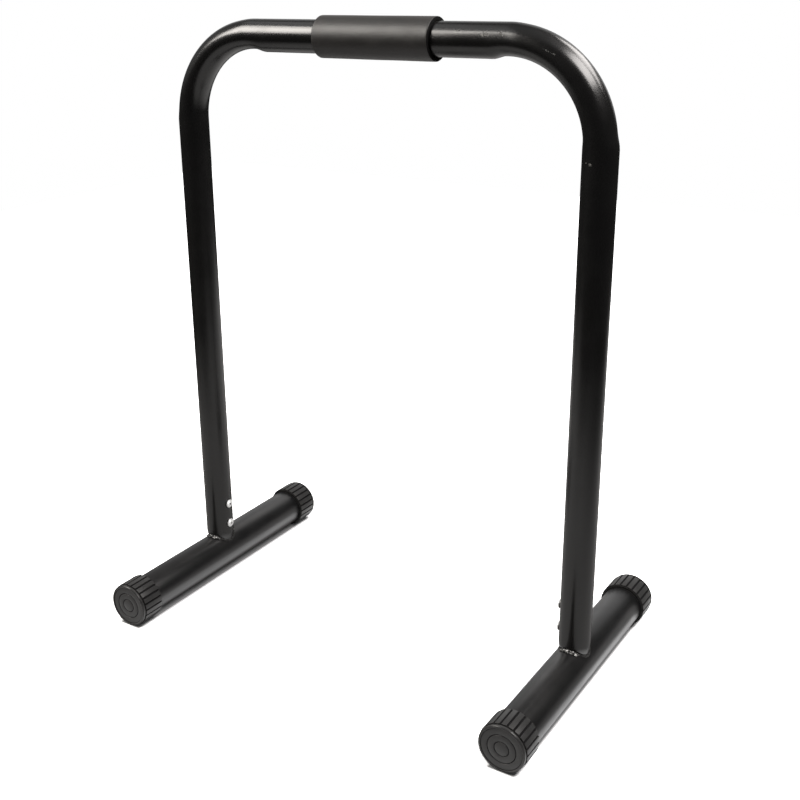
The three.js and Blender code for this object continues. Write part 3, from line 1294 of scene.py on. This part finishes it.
    def build(self, pattern: Workpiece, side: Side, end: End, finish: Material) -> None:
        """Copies the pattern to one end of a floor tube and fits it out.

        Args:
            pattern: The cap that pattern() made.
            side: Which floor tube.
            end: Which end of it.
            finish: Its material.
        """
        node = f"end_cap_{end.word}_{side.word}"
        cap = pattern.copy(f"ribbed_cap_{end.word}_{side.word}")
        mouth = middle(node)
        mouth.y -= end.value * self.depth / 2
        mouth.z = middle(f"floor_tube_{side.word}").z
        cap.place(posed(mouth, (-90 * end.value, "X")))
        cap.fit_out(finish, "cap_plastic", node, crease=28)


@dataclass
class WeldBead:
    """The ring of weld round a spigot, laid as a row of overlapping puddles.

    Pairs of shares hold at the floor tube's flanks and, fully opened, at the gap over its ridge.
    """

    bead: float = 2.3 * MM
    segments: tuple[int, int] = (240, 18)
    seat: float = 25.1 * MM
    inset: float = 1.35 * MM
    opening: float = 0.72
    opening_run: float = 0.2
    shy: Span = (0.45, 1.25)
    lump_size: float = 2.5 * MM
    lump_height: float = 1.6 * MM
    lump_shift: float = 7
    lump_share: Span = (0.3, 1.0)
    fatness: Span = (0.6, 1.0)
    belly: float = 0.3
    inmost: float = 1.2 * MM
    lift: float = 1.2 * MM
    bareness: Span = (0.12, 1.0)

    def _lay(self, weld: Workpiece, major: float, seed: int) -> None:
        """Lays a plain ring on the floor tube, with its puddles and its bare patches.

        Args:
            weld: The ring.
            major: Its radius.
            seed: Sets which puddles are large.
        """
        for vertex, mark in weld.marks(BARE):
            angle = math.atan2(vertex.co.y, vertex.co.x)
            opened = smooth_step((abs(math.sin(angle)) - self.opening) / self.opening_run)
            out, up = vertex.co.xy.length - major, vertex.co.z
            spot = vertex.co / self.lump_size + Vector((0, 0, self.lump_shift * seed))
            lump = noise.noise(spot) * self.lump_height * between(self.lump_share, opened)
            swell = out * between(self.shy, opened) + lump * (out > 0)
            radius = major + max(swell, -self.inmost)
            fatness = between(self.fatness, opened)
            height = up * (fatness if up > 0 else self.belly) + lump * (up > 0)
            beside = radius * math.cos(angle)
            base = saddle_height(self.seat, beside) + self.lift * fatness
            vertex.co = Vector((beside, radius * math.sin(angle), base + height))
            mark.value = between(self.bareness, opened)

    def build(self, side: Side, finish: Material) -> None:
        """Models one bead and fits it out.

        Args:
            side: Which floor tube it is on.
            finish: Its material.
        """
        node = f"weld_bead_{side.word}"
        low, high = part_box(node)
        major = (high[0] - low[0]) / 2 - self.inset
        weld = added(
            f"weld_{side.word}", bpy.ops.mesh.primitive_torus_add,
            major_segments=self.segments[0], minor_segments=self.segments[1],
            major_radius=major, minor_radius=self.bead,
        )
        self._lay(weld, major, side.value)
        axis_height = middle(f"floor_tube_{side.word}").z
        weld.place(posed(((low[0] + high[0]) / 2, (low[1] + high[1]) / 2, axis_height)))
        weld.mend()
        weld.fit_out(finish, "weld", node, crease=60)


@dataclass
class PanScrew:
    """A pan head screw round Z with its head up and the underside of the head at the origin."""

    head: float = 6 * MM
    height: float = 3 * MM
    edge: float = 1 * MM
    bevel: float = 0.25 * MM
    points: int = 48
    dome_steps: int = 7
    shank: float = 3 * MM
    length: float = 12 * MM
    slot: float = 1.8 * MM
    slot_length: float = 6.4 * MM
    slot_depth: float = 1.7 * MM
    slot_taper: float = 0.55
    pole: float = 0.4 * MM

    def _cross(self) -> Workpiece:
        """Models the tapered cross that is cut out of the head.

        Returns:
            The cross.
        """
        bars = []
        for size in ((self.slot_length, self.slot), (self.slot, self.slot_length)):
            bar = added(
                "cross_bar", bpy.ops.mesh.primitive_cube_add, (*size, 2 * self.slot_depth),
                size=1, location=(0, 0, self.height),
            )
            bar.open()
            bar.pick("VERT", lambda vertex: vertex.co.z < self.height)
            bpy.ops.transform.resize(value=(self.slot_taper, self.slot_taper, 1), center_override=ORIGIN)
            bar.close()
            bars.append(bar)
        bars[0].combine(bars[1], "UNION")
        return bars[0]

    def pattern(self) -> Workpiece:
        """Models a whole screw.

        Returns:
            The screw, as a pattern to copy.
        """
        dome = arc((0, self.edge), (self.head, self.height - self.edge), self.dome_steps)[:-1]
        outline = [(self.pole, -self.length), (self.shank, -self.length), (self.shank, 0)]
        outline += [(self.head, 0), *dome, (self.pole, self.height)]
        screw = ring("screw_pattern", outline[0], self.points)
        screw.open("SELECT")
        screw.draw_up(outline)
        screw.cap_poles()
        screw.close()
        screw.mend()
        screw.round_edges(self.bevel, segments=2, angle=60)
        screw.combine(self._cross(), "DIFFERENCE")
        self._mark_recess(screw)
        return screw

    def _mark_recess(self, screw: Workpiece) -> None:
        """Marks the recess's floor and walls, below the head's dome, which are painted with shade.

        Args:
            screw: The screw.
        """
        for vertex, mark in screw.marks(GROOVE_SHADE):
            inside = vertex.co.xy.length < self.slot_length / 2
            mark.value = float(inside and 0 < vertex.co.z < self.height - self.slot_depth / 2)

    def build(self, pattern: Workpiece, side: Side, row: Row, finish: Material) -> None:
        """Copies the pattern to its hole and fits it out.

        Args:
            pattern: The screw that pattern() made.
            side: Which upright.
            row: Which of the two holes.
            finish: Its material.
        """
        node = f"screw_{row.word}_{side.word}"
        low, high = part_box(node)
        inward = -side.value
        head_top = high[0] if inward > 0 else low[0]
        seat = Vector((head_top - inward * self.height, 0, middle(node).z))
        screw = pattern.copy(f"pan_screw_{row.word}_{side.word}")
        screw.place(posed(seat, (90 * inward, "Y"), (row.value, "Z")))
        screw.fit_out(finish, "zinc_plate", node, crease=30)


@dataclass(frozen=True)
class Camera:
    """The camera at the photograph's place. Its angles are in degrees."""

    place: Place = (0.71812, -1.09944, 0.81358)
    azimuth: float = 33.481
    dip: float = 19.502
    roll: float = -0.824
    focal_pixels: float = 1130.09
    principal: Span = (371.84, 372.78)
    image: float = 800.0
    sensor: float = 36.0
    nearest: float = 0.01

    def build(self) -> None:
        """Sets up the camera and how its picture is shown."""
        data = bpy.data.cameras.new("camera")
        data.sensor_width = self.sensor
        data.lens = self.focal_pixels * self.sensor / self.image
        data.shift_x = 0.5 - self.principal[0] / self.image
        data.shift_y = self.principal[1] / self.image - 0.5
        data.clip_start = self.nearest
        camera = bpy.data.objects.new("camera", data)
        bpy.context.scene.collection.objects.link(camera)
        camera.matrix_world = posed(
            self.place, (self.azimuth, "Z"), (90 - self.dip, "X"), (self.roll, "Z")
        )
        bpy.context.scene.camera = camera
        bpy.context.scene.view_settings.view_transform = "Standard"


@dataclass(frozen=True)
class Paper:
    """The pale paper floor, which keeps the object's shadow.

    The camera sees it white, but for a thin contact shadow painted beside each floor tube. The object
    sees a painted pool of light round itself, paler at the rear, that is partly a glow. The kick is a
    further glow in the tubes' reflections, given for the left and for the right tube, and only in short
    rays. No reflection glows in the tubes' own footprint.
    """

    centre: Place = (-0.2, 1.0, 0)
    size: Place = (5.0, 3.8, 1)
    white: Colour = (2.45, 2.499, 2.548, 1)
    lift_run: Span = (0.05, 0.5)
    lift: Span = (0.02, 1.0)
    depth_run: Span = (-0.2, 1.1)
    shade: Span = (0.39, 0.77)
    pool_rear: float = 1.0
    pool_run: Span = (0.35, 1.1)
    pool: Span = (1.0, 0.05)
    right_run: Span = (0.35, 0.9)
    right: Span = (1.0, 0.75)
    glow: float = 0.35
    kick: Span = (1.0, 1.4)
    kick_end: Span = (0.06, 0.095)
    kick_front: Span = (-0.05, 0.02)
    footprint: Place = (0.019, 0.19, 1.0)
    edge: float = 0.012
    # painted shadow: the camera's white beside the tubes is darkened to this share
    contact: float = 0.18
    contact_half: Place = (0.0145, 0.188, 1.0)
    contact_reach: float = 0.0045

    def _away(self, graph: Graph, where: Socket, rear: float) -> Socket:
        """Gives the distance on the floor from a rectangle round the object.

        Args:
            graph: The floor's graph.
            where: The place on the floor.
            rear: How far back the rectangle goes.

        Returns:
            The distance, in metres.
        """
        low, high = CAD_BOX
        inside = graph.vector("MINIMUM", where, (high[0], rear, 0))
        nearest = graph.vector("MAXIMUM", inside, (low[0], low[1], 0))
        return graph.vector("LENGTH", graph.vector("SUBTRACT", where, nearest))

    def _beside_tubes(self, graph: Graph, where: Socket, half: Place) -> Socket:
        """Gives the distance on the floor from a rectangle under each floor tube.

        Args:
            graph: The floor's graph.
            where: The place on the floor.
            half: Half the rectangle's sides.

        Returns:
            The distance, in metres.
        """
        tube = (middle("floor_tube_right").x, 0, 0)
        mirrored = graph.vector("SUBTRACT", graph.vector("ABSOLUTE", where), tube)
        past = graph.vector("SUBTRACT", graph.vector("ABSOLUTE", mirrored), half)
        return graph.vector("LENGTH", graph.vector("MAXIMUM", past, ORIGIN))

    def _reflected(self, graph: Graph, where: Socket, lit: Socket) -> Socket:
        """Gives the glow that the object's reflections show.

        Args:
            graph: The floor's graph.
            where: The place on the floor.
            lit: How bright the paper is there to the object.

        Returns:
            The glow's strength, 0 to all but glossy rays.
        """
        path = graph.add("ShaderNodeLightPath").outputs
        across, depth, _ = graph.split(where)
        front, tube = CAD_BOX[0][1], middle("floor_tube_right").x
        behind = graph.ramp(depth, (front + self.kick_front[0], front + self.kick_front[1]))
        kick = graph.times(behind, graph.ramp(across, (-tube, tube), self.kick))
        close = graph.times(kick, graph.ramp(path["Ray Length"], self.kick_end, FALL))
        beside = self._beside_tubes(graph, where, self.footprint)
        open_floor = graph.times(path["Is Glossy Ray"], graph.ramp(beside, (0.0, self.edge)))
        return graph.times(open_floor, graph.plus(graph.times(lit, self.glow), close))

    def build(self) -> None:
        """Lays the paper."""
        plane = bpy.ops.mesh.primitive_plane_add
        floor = added("studio_floor", plane, self.size, size=1, location=self.centre)
        finish = Finish("Studio paper")
        graph, where = finish.graph, finish.where
        to_camera = seen(graph)
        across, depth, _ = graph.split(where)
        pool = graph.ramp(self._away(graph, where, self.pool_rear), self.pool_run, self.pool)
        pool = graph.times(pool, graph.ramp(across, self.right_run, self.right))
        lit = graph.times(graph.ramp(depth, self.depth_run, self.shade), pool)
        red, green, blue, _ = self.white
        # painted contact shadow: beside the tubes the camera sees the white darkened
        contact = (self.contact * red, self.contact * green, self.contact * blue, 1)
        beside = self._beside_tubes(graph, where, self.contact_half)
        shown = graph.blend(graph.ramp(beside, (0.0, self.contact_reach)), contact, self.white)
        colour = graph.blend(to_camera, graph.times(lit, 1 - self.glow), shown)
        paper = graph.add("ShaderNodeBsdfDiffuse", {"Color": colour})
        near = self._away(graph, where, CAD_BOX[1][1])
        lift = graph.times(to_camera, graph.ramp(near, self.lift_run, self.lift))
        strength = graph.plus(lift, self._reflected(graph, where, lit))
        glow = graph.add("ShaderNodeEmission", {"Color": (1, 1, 1, 1), "Strength": strength})
        finish.end(graph.add("ShaderNodeAddShader", {0: paper.outputs[0], 1: glow.outputs[0]}))
        floor.body.data.materials.append(finish.material)


@dataclass(frozen=True)
class Surround:
    """The world: white to the camera, and a dim studio with a lighter rear to the object.

    A run is the part of the direction's X, Y or Z over which a light sets in, or falls off.
    """

    dim: float = 0.015
    horizon: float = 0.5
    horizon_back_run: Span = (0.6, 0.95)
    horizon_low_run: Span = (-0.04, 0.02)
    horizon_high_run: Span = (0.04, 0.2)
    rightward_run: Span = (0.0, 0.3)
    rear_left: float = 0.55
    rear_left_way: Span = (-0.3, 0.95)
    rear_left_run: Span = (0.58, 0.92)
    left: float = 0.13
    left_run: Span = (-0.3, -0.9)
    over_run: Span = (-0.02, 0.12)
    above: float = 0.14
    above_run: Span = (0.75, 0.98)

    def build(self) -> None:
        """Sets the world."""
        world = bpy.data.worlds.new("studio")
        world.use_nodes = True
        bpy.context.scene.world = world
        graph = Graph(world.node_tree)
        side, back, up = graph.split(graph.add("ShaderNodeTexCoord").outputs["Generated"])
        low = graph.times(
            graph.ramp(up, self.horizon_low_run), graph.ramp(up, self.horizon_high_run, FALL)
        )
        leftward = graph.ramp(side, self.rightward_run, FALL)
        rear = graph.ramp(back, self.horizon_back_run, (0.0, self.horizon))
        horizon = graph.times(rear, graph.times(low, leftward))
        askew = graph.plus(
            graph.times(back, self.rear_left_way[1]), graph.times(side, self.rear_left_way[0])
        )
        rear_left = graph.ramp(askew, self.rear_left_run, (0.0, self.rear_left))
        left = graph.ramp(side, self.left_run, (0.0, self.left))
        sides = graph.plus(graph.times(rear_left, leftward), left)
        over = graph.times(graph.ramp(up, self.over_run), sides)
        above = graph.ramp(up, self.above_run, (0.0, self.above))
        dim = graph.plus(horizon, over, above, self.dim)
        shown = graph.blend(seen(graph), dim, (1, 1, 1, 1))
        sky = graph.add("ShaderNodeBackground", {"Color": shown, "Strength": 1.0})
        graph.add("ShaderNodeOutputWorld", {"Surface": sky.outputs[0]})


@dataclass(frozen=True)
class Softbox:
    """A softbox, placed by its bearing and height as seen from the point that it is aimed at.

    Its size is a share of its distance. Where it names pieces, it lights only those, or all but
    those that it spares, as if cards stood in its light.
    """

    name: str
    aim: Place
    azimuth: float
    height: float
    distance: float
    size: Span
    level: float
    colour: Place = (1.0, 1.0, 1.0)
    pieces: tuple[str, ...] = ()
    spares: bool = False

    def build(self) -> None:
        """Hangs the softbox."""
        data = bpy.data.lights.new(self.name, "AREA")
        data.shape = "RECTANGLE"
        data.size, data.size_y = (share * self.distance for share in self.size)
        data.energy = self.level * math.pi * data.size * data.size_y
        data.color = self.colour
        lamp = bpy.data.objects.new(self.name, data)
        bpy.context.scene.collection.objects.link(lamp)
        bearing, tilt = math.radians(self.azimuth), math.radians(self.height)
        flat = math.cos(tilt)
        away = Vector((math.sin(bearing) * flat, -math.cos(bearing) * flat, math.sin(tilt)))
        lamp.location = Vector(self.aim) + self.distance * away
        lamp.rotation_euler = away.to_track_quat("Z", "Y").to_euler()
        lamp.visible_camera = False

    def card(self) -> None:
        """Keeps the light to the pieces that it names, or off those."""
        if not self.pieces:
            return
        named = bpy.data.collections.new(f"pieces of the {self.name}")
        for name in self.pieces:
            named.objects.link(bpy.data.objects[name])
        for entry in named.collection_objects:
            entry.light_linking.link_state = "EXCLUDE" if self.spares else "INCLUDE"
        bpy.data.objects[self.name].light_linking.receiver_collection = named


BAR_MIDDLE = (0.0, 0.0, 0.74)
RIGHT_BEND = (0.25, 0.0, 0.72)
LEFT_FOOT = (-0.275, 0.0, 0.05)
WARM = (1.0, 0.955, 0.9)
MILD = (1.0, 0.96, 0.935)
WHITE = (1.0, 1.0, 1.0)
HIGH_PIECES = ("frame_tube", "foam_grip")
LOW_PIECES = ("cross_tube_left", "cross_tube_right")
LEFT_SCREWS = ("pan_screw_lower_left", "pan_screw_upper_left")

SOFTBOXES = (
    Softbox("key softbox", BAR_MIDDLE, -52.4, 32.3, 3.0, (0.5, 0.59), 7.1, WARM),
    Softbox("key core", BAR_MIDDLE, -50, 31, 3.0, (0.26, 0.32), 3.5, WARM),
    Softbox("top softbox", BAR_MIDDLE, -78, 57, 3.0, (0.9, 0.34), 0.5),
    Softbox("side softbox", RIGHT_BEND, 89, 54, 2.5, (0.82, 0.48), 8.8, MILD, LOW_PIECES, True),
    Softbox("low side softbox", RIGHT_BEND, 73, 52, 2.5, (0.8, 0.48), 7.0, MILD, LOW_PIECES),
    Softbox("rear softbox", RIGHT_BEND, 155, 41, 0.6, (0.66, 0.48), 6.6, MILD, HIGH_PIECES),
    Softbox("low rear softbox", LEFT_FOOT, -172, 40, 1.25, (0.5, 0.44), 0.65, MILD, LOW_PIECES),
    Softbox("screw softbox", LEFT_FOOT, 95, 12, 0.9, (0.7, 0.7), 5.0, WHITE, LEFT_SCREWS),
)

PAINT_MARKS = (
    PaintMark((0.1169, -0.0160, 0.7553), (0.0032, 0.0040, 0.0016), 10, 0.15),
    PaintMark((0.1452, -0.0180, 0.7512), (0.0034, 0.0040, 0.0012), -40, 0.9, 0.7),
    PaintMark((0.1490, -0.0180, 0.7525), (0.0046, 0.0040, 0.0022), -30, 0.8),
    PaintMark((0.1669, -0.0174, 0.7527), (0.0036, 0.0040, 0.0018), -30, 0.6),
    PaintMark((0.2190, -0.0184, 0.7376), (0.0052, 0.0040, 0.0008), -22, 0.14),
    PaintMark((0.2262, -0.0183, 0.7346), (0.0036, 0.0040, 0.0008), -22, 0.12),
    PaintMark((-0.1845, -0.0185, 0.7481), (0.0008, 0.0040, 0.0008), 0, 1.0, 1.0),
    PaintMark((-0.1995, -0.0185, 0.7452), (0.0007, 0.0040, 0.0007), 0, 0.7, 1.0),
    PaintMark((0.2717, -0.0187, 0.6269), (0.0024, 0.0040, 0.0018), -20, 0.8, 0.7),
    PaintMark((0.2666, -0.0171, 0.6283), (0.0011, 0.0040, 0.0011), 0, 0.5, 0.7),
)

FRAME_COAT = PowderCoat("Powder coat with marks", (0.0096, 0.0094, 0.0094, 1), (0.21, 0.27), PAINT_MARKS)
FLOOR_COAT = PowderCoat("Powder coat", (0.016, 0.016, 0.0165, 1), (0.32, 0.38))


def dress_hidden_nodes(paint: Material, zinc: Material) -> None:
    """Gives the CAD nodes that stay, inside the uprights, their materials.

    Args:
        paint: The spigots' material.
        zinc: The weld nuts' material.
    """
    kept = {f"spigot_{side.word}": paint for side in Side}
    kept |= {f"weld_nut_{row.word}_{side.word}": zinc for side in Side for row in Row}
    for node, finish in kept.items():
        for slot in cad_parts[node].material_slots:
            slot.material = finish
        log.info("%s keeps its CAD mesh", node)


def main() -> None:
    """Builds the studio, the finishes and every piece, in order."""
    logging.basicConfig(level=logging.INFO, format="%(name)s: %(message)s")
    for part in (Camera(), Paper(), Surround(), *SOFTBOXES):
        part.build()
    effects = Effects()
    frame_paint, paint = FRAME_COAT.build(effects), FLOOR_COAT.build(effects)
    foam, cut_foam = FoamSkin().build(effects), CutFoam().build()
    plastic = MouldedPlastic().build(effects)
    zinc = ZincPlate().build(effects)
    weld_metal = WeldMetal().build(effects)
    BentTube().build(frame_paint)
    GripSleeve().build(foam, cut_foam)
    cap, screw = EndCap(), PanScrew()
    cap_pattern, screw_pattern = cap.pattern(), screw.pattern()
    for side in Side:
        FloorTube().build(side, paint)
        WeldBead().build(side, weld_metal)
        for end in End:
            cap.build(cap_pattern, side, end, plastic)
        for row in Row:
            screw.build(screw_pattern, side, row, zinc)
    cap_pattern.discard()
    screw_pattern.discard()
    dress_hidden_nodes(paint, zinc)
    for box in SOFTBOXES:
        box.card()


if __name__ == "__main__":
    main()
